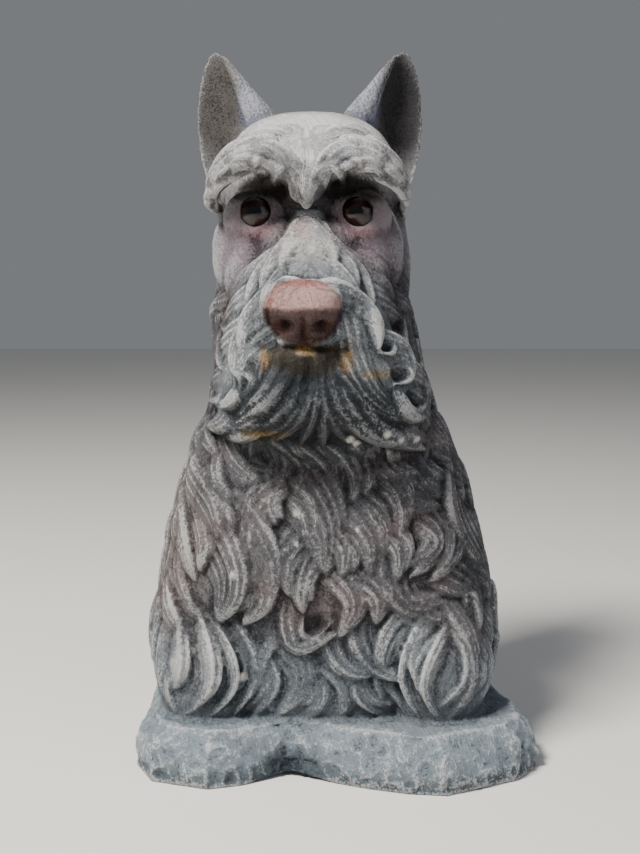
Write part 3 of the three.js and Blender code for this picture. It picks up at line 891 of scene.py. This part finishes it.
tree = kdtree.KDTree(len(strands_at))
for i, (spot, _, _) in enumerate(strands_at):
    tree.insert(spot, i)
tree.balance()
run = x + 0.2 * y + 0.3 * h  # away from the locks the brush went nearly straight down
hair = np.zeros(len(spots))
for i, spot in enumerate(spots):
    found, nearest, gap = tree.find(spot)
    if gap < 5:
        _, across, side = strands_at[nearest]
        run[i], hair[i] = across + side.dot(Vector(spot) - found), 1 - gap / 5


def keep(mesh, name, kind, values):
    """Stores a value or a colour for each point, where a material can read it by name."""
    made = mesh.attributes.new(name, kind, "POINT")
    field = "color" if kind == "FLOAT_COLOR" else "value"
    made.data.foreach_set(field, np.ascontiguousarray(values, dtype=np.float32).ravel())


keep(skin_mesh, "paint", "FLOAT_COLOR", np.hstack([paint, np.ones((len(spots), 1))]))
for name, values in [("ridge", ridge), ("white", white), ("chip", chip), ("run", run), ("hair", hair)]:
    keep(skin_mesh, name, "FLOAT", values)
print("hair runs known at", int((hair > 0).sum()), "points")

# %% [markdown]
# ## Painted cement
#
# Materials are trees of nodes, which are quicker to read when each takes one line. So one helper adds
# a node, sets it up and links it.

# %% One helper for nodes
def add(tree, kind, links=(), **settings):
    node = tree.nodes.new(kind)
    for name, value in settings.items():
        setattr(node, name, value)
    for key, value in dict(links).items():
        if isinstance(value, bpy.types.NodeSocket):
            tree.links.new(value, node.inputs[key])
        else:
            node.inputs[key].default_value = value
    return node


def material(name):
    """A new material and its empty tree."""
    made = bpy.data.materials.new(name)
    made.use_nodes = True
    made.node_tree.nodes.clear()
    return made, made.node_tree


def rgba(code):
    return (*linear(code), 1.0)


print("mid grey in linear numbers:", [round(c, 3) for c in rgba("#808080")])

# %% [markdown]
# Cast cement is chalky: rough everywhere, no sheen, and grainy at about a millimetre. The paint on it
# is thin. The zone colour is darkened where the skin lies deep, for a dark wash and painted shade, then
# white is brushed on where ridge and grain together stand high enough, which gives the broken edge of
# a dry brush. A picture of cement would need unwrapping and would show its seams, so the grain is
# noise on Object coordinates.

# %% Grain, clouds and strands of painted cement
GRAIN, CLOUD = 4 / 3, 100 / 9  # mm across a lump of sand and across a cloudy patch
STRAND = 5 / 3  # mm from one strand of a lock to the next
cement, t = material("painted_cast_cement")
where = add(t, "ShaderNodeTexCoord").outputs["Object"]
zone = add(t, "ShaderNodeAttribute", attribute_name="paint").outputs["Color"]
field = {}
for name in ("ridge", "white", "chip", "run", "hair"):
    field[name] = add(t, "ShaderNodeAttribute", attribute_name=name).outputs["Fac"]

# Object coordinates are in metres, and "run" is millimetres across a lock.
sand = {"Vector": where, "Scale": 1000 / GRAIN, "Detail": 4, "Roughness": 0.7}
grain = add(t, "ShaderNodeTexNoise", sand).outputs["Fac"]
clouds = {"Vector": where, "Scale": 1000 / CLOUD, "Detail": 5, "Roughness": 0.6}
mottle = add(t, "ShaderNodeTexNoise", clouds).outputs["Fac"]
wobble = add(t, "ShaderNodeMath", {0: mottle, 1: 3.0, 2: field["run"]}, operation="MULTIPLY_ADD").outputs[0]
hairs = {"W": wobble, "Scale": 1 / STRAND, "Detail": 3, "Roughness": 0.6}
stroke = add(t, "ShaderNodeTexNoise", hairs, noise_dimensions="1D").outputs["Fac"]
# Strands show most near the locks, and faintly on the smooth parts.
combed = add(t, "ShaderNodeMapRange", {"Value": field["hair"], "To Min": 0.35, "To Max": 0.9}).outputs[0]
stroke = add(t, "ShaderNodeMath", {0: stroke, 1: -0.5}, operation="ADD").outputs[0]
stroke = add(t, "ShaderNodeMath", {0: stroke, 1: combed}, operation="MULTIPLY").outputs[0]
print("noises of", round(GRAIN, 2), round(CLOUD, 1), "and", round(STRAND, 2), "mm")

# %% [markdown]
# Now grain, strands and clouds are added to the ridge, and that sum decides where the dark wash and
# painted shade stay and where the dry brush leaves white. The same noises also make the bump, so the
# white lies on what looks raised.

# %% Thin paint, dark wash with painted shade, and dry-brushed white
rise = add(t, "ShaderNodeMath", {0: grain, 1: 3.6, 2: -1.8}, operation="MULTIPLY_ADD").outputs[0]
rise = add(t, "ShaderNodeMath", {0: stroke, 1: 2.0, 2: rise}, operation="MULTIPLY_ADD").outputs[0]
rise = add(t, "ShaderNodeMath", {0: mottle, 1: 0.5, 2: rise}, operation="MULTIPLY_ADD").outputs[0]
relief = add(t, "ShaderNodeMath", {0: rise, 1: field["ridge"]}, operation="ADD").outputs[0]
low_part = {"Value": relief, "From Min": 0.15, "From Max": -0.7, "To Max": 0.75}
deep = add(t, "ShaderNodeMapRange", low_part, interpolation_type="SMOOTHSTEP").outputs[0]
high_part = {"Value": relief, "From Min": 0.55, "From Max": 1.35}
high = add(t, "ShaderNodeMapRange", high_part, interpolation_type="SMOOTHSTEP").outputs[0]
dusted = add(t, "ShaderNodeMath", {0: high, 1: field["white"]}, operation="MULTIPLY").outputs[0]

# Thin paint is uneven by about a seventh.
uneven = {"Value": mottle, "From Min": 0.3, "From Max": 0.7, "To Min": 0.84, "To Max": 1.14}
light = add(t, "ShaderNodeMapRange", uneven).outputs[0]
tint = {"data_type": "RGBA", "blend_type": "MULTIPLY"}
coat = add(t, "ShaderNodeMix", {0: 1.0, 6: zone, 7: light}, **tint).outputs[2]
# Where the skin lies deep the zone colour is darkened towards this grey: a dark wash and painted shade.
shade = add(t, "ShaderNodeMix", {0: 1.0, 6: zone, 7: rgba("#55575d")}, **tint).outputs[2]
coat = add(t, "ShaderNodeMix", {0: deep, 6: coat, 7: shade}, data_type="RGBA").outputs[2]
coat = add(t, "ShaderNodeMix", {0: dusted, 6: coat, 7: rgba("#dedfe0")}, data_type="RGBA").outputs[2]
coat = add(t, "ShaderNodeMix", {0: field["chip"], 6: coat, 7: rgba("#e9e7e2")}, data_type="RGBA").outputs[2]

STRAND_RELIEF, GRAIN_RELIEF = 0.0032, 0.0018  # metres between the noises' lowest and highest
strands = add(t, "ShaderNodeBump", {"Height": stroke, "Strength": 1.0, "Distance": STRAND_RELIEF}).outputs[0]
sandy = {"Height": grain, "Strength": 1.0, "Distance": GRAIN_RELIEF, "Normal": strands}
bump = add(t, "ShaderNodeBump", sandy).outputs[0]
chalky = {"Base Color": coat, "Roughness": 0.9, "IOR": 1.5, "Specular IOR Level": 0.25, "Normal": bump}
shader = add(t, "ShaderNodeBsdfPrincipled", chalky)
add(t, "ShaderNodeOutputMaterial", {"Surface": shader.outputs[0]})
skin_mesh.materials.clear()
skin_mesh.materials.append(cement)

skin_mesh.transform(Matrix.Scale(0.001, 4))
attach(casting, "root")
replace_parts(casting, "terrier_on_base")
print("painted:", cement.name, "with", len(t.nodes), "nodes")

# %% [markdown]
# ## Glass eyes
#
# A glass eye is clear glass over paint: white round a dark brown iris, and a black pupil. A plain
# dark ball would have no depth, so each eye is two shells in one piece: clear glass outside, and
# inside it a painted ball whose colours are set by how far a point is from the way the eye looks.

# %% Paint and glass of the eyes
GLASS_WALL = 0.9  # mm of clear glass over the paint
FIBRE = 2.5  # mm, so that the iris isn't a perfect ring
RAMP_END = 10.0  # mm from the middle of the pupil to the end of the colour ramp
iris_paint, t = material("painted_iris")
off = add(t, "ShaderNodeAttribute", attribute_name="off_axis").outputs["Fac"]
where = add(t, "ShaderNodeTexCoord").outputs["Object"]
fibre = add(t, "ShaderNodeTexNoise", {"Vector": where, "Scale": 1000 / FIBRE, "Detail": 2}).outputs["Fac"]
edge = add(t, "ShaderNodeMath", {0: fibre, 1: 0.3, 2: off}, operation="MULTIPLY_ADD").outputs[0]
from_middle = add(t, "ShaderNodeMath", {0: edge, 1: RAMP_END}, operation="DIVIDE").outputs[0]
ramp = add(t, "ShaderNodeValToRGB", {"Fac": from_middle})
RINGS = [
    (0.0, "#030202"), (0.34, "#050303"),  # pupil
    (0.40, "#31110b"), (0.56, "#3a150d"), (0.68, "#1f0b08"), (0.76, "#120706"),  # iris
    (0.80, "#b9aeab"), (1.0, "#cfc6c2"),  # white
]
while len(ramp.color_ramp.elements) < len(RINGS):
    ramp.color_ramp.elements.new(0.5)
for element, (spot, code) in zip(ramp.color_ramp.elements, RINGS):
    element.position, element.color = spot, rgba(code)
enamel = {"Base Color": ramp.outputs[0], "Roughness": 0.8, "Specular IOR Level": 0.0}
shader = add(t, "ShaderNodeBsdfPrincipled", enamel)
add(t, "ShaderNodeOutputMaterial", {"Surface": shader.outputs[0]})

# Clear glass: no colour of its own, smooth as blown glass is.
eye_glass, t = material("clear_eye_glass")
clear = {"Base Color": (1, 1, 1, 1), "Roughness": 0.03, "IOR": 1.5, "Transmission Weight": 1.0}
shader = add(t, "ShaderNodeBsdfPrincipled", clear)
add(t, "ShaderNodeOutputMaterial", {"Surface": shader.outputs[0]})
print("eye materials:", iris_paint.name, "and", eye_glass.name)

# %% [markdown]
# Both eyes look the same way, a little to the viewer's left. The balls are turned so that their poles
# lie front and back, where the rings of points follow the rings of the iris.

# %% The two eyes
GAZE = Vector((-0.10, -1, 0.0)).normalized()


def off_gaze(spot):
    """Millimetres from the line of sight, or the whole radius at the back of the ball."""
    ahead = spot.dot(GAZE)
    return math.sqrt(max(0, spot.length_squared - ahead**2)) if ahead > 0 else EYES["ball"]


def glass_eye(name, side):
    bm = bmesh.new()
    paint_radius = EYES["ball"] - GLASS_WALL
    inner = bmesh.ops.create_uvsphere(bm, u_segments=64, v_segments=48, radius=paint_radius)["verts"]
    bmesh.ops.create_uvsphere(bm, u_segments=64, v_segments=48, radius=EYES["ball"])
    inside = set(inner)
    for face in bm.faces:
        face.material_index = 0 if face.verts[0] in inside else 1
        face.smooth = True
    bmesh.ops.rotate(bm, verts=bm.verts, matrix=Matrix.Rotation(math.pi / 2, 3, "X"))
    off_axis = [off_gaze(v.co) for v in bm.verts]
    bmesh.ops.translate(bm, verts=bm.verts, vec=eye_centre(side))
    eye = object_from(bm, name)
    keep(eye.data, "off_axis", "FLOAT", off_axis)
    eye.data.materials.append(iris_paint)
    eye.data.materials.append(eye_glass)
    eye.data.transform(Matrix.Scale(0.001, 4))
    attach(eye, "root")
    return eye


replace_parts(glass_eye("eye_on_viewers_left", -1), "glass_eye_right")
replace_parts(glass_eye("eye_on_viewers_right", 1), "glass_eye_left")
print("eyes of", 2 * EYES["ball"], "mm set", EYES["apart"], "mm apart")

# %% [markdown]
# ## The studio
#
# A pale floor, a soft light high on the left, where the statue's light comes from, and a weak one from
# the right so that the shadows keep their colour. The camera stands where the photographer's did: in
# front, a little above the dog's chin, looking slightly down.

# %% Floor, lights and camera
floor_paper, t = material("pale_paper")
shader = add(t, "ShaderNodeBsdfPrincipled", {"Base Color": rgba("#e6e4e0"), "Roughness": 0.9})
add(t, "ShaderNodeOutputMaterial", {"Surface": shader.outputs[0]})
bm = bmesh.new()
bmesh.ops.create_grid(bm, x_segments=1, y_segments=1, size=6)
bmesh.ops.translate(bm, verts=bm.verts, vec=(0, 0, -0.0003))
floor = object_from(bm, "floor")
floor.data.materials.append(floor_paper)

world = bpy.data.worlds.new("soft_sky")
world.use_nodes = True
world.node_tree.nodes["Background"].inputs["Color"].default_value = rgba("#dfe3e8")
world.node_tree.nodes["Background"].inputs["Strength"].default_value = 0.26
bpy.context.scene.world = world


def soft_light(name, spot, size, power, colour):
    data = bpy.data.lights.new(name, "AREA")
    data.shape, data.size, data.energy, data.color = "SQUARE", size, power, linear(colour)
    lamp = bpy.data.objects.new(name, data)
    lamp.location = spot
    lamp.rotation_euler = (Vector((0, 0, 0.2)) - Vector(spot)).to_track_quat("-Z", "Y").to_euler()
    bpy.context.collection.objects.link(lamp)


soft_light("sky_left", (-0.75, -0.8, 1.5), 0.45, 66, "#fffaf2")
soft_light("fill_right", (1.5, -1.0, 0.8), 1.6, 7, "#eaf0ff")

SENSOR = 36  # mm along the taller side of the picture
FOCAL, TALL = 1150, 854  # the photograph's focal length and height, both in its pixels
lens = bpy.data.cameras.new("camera")
lens.lens, lens.sensor_width, lens.clip_start = SENSOR * FOCAL / TALL, SENSOR, 0.01
camera = bpy.data.objects.new("camera", lens)
camera.location = (0, -0.640, 0.245)
camera.rotation_euler = (math.radians(84), 0, 0)
bpy.context.collection.objects.link(camera)
bpy.context.scene.camera = camera
print("camera at", tuple(camera.location), "with a lens of", round(lens.lens, 1), "mm")
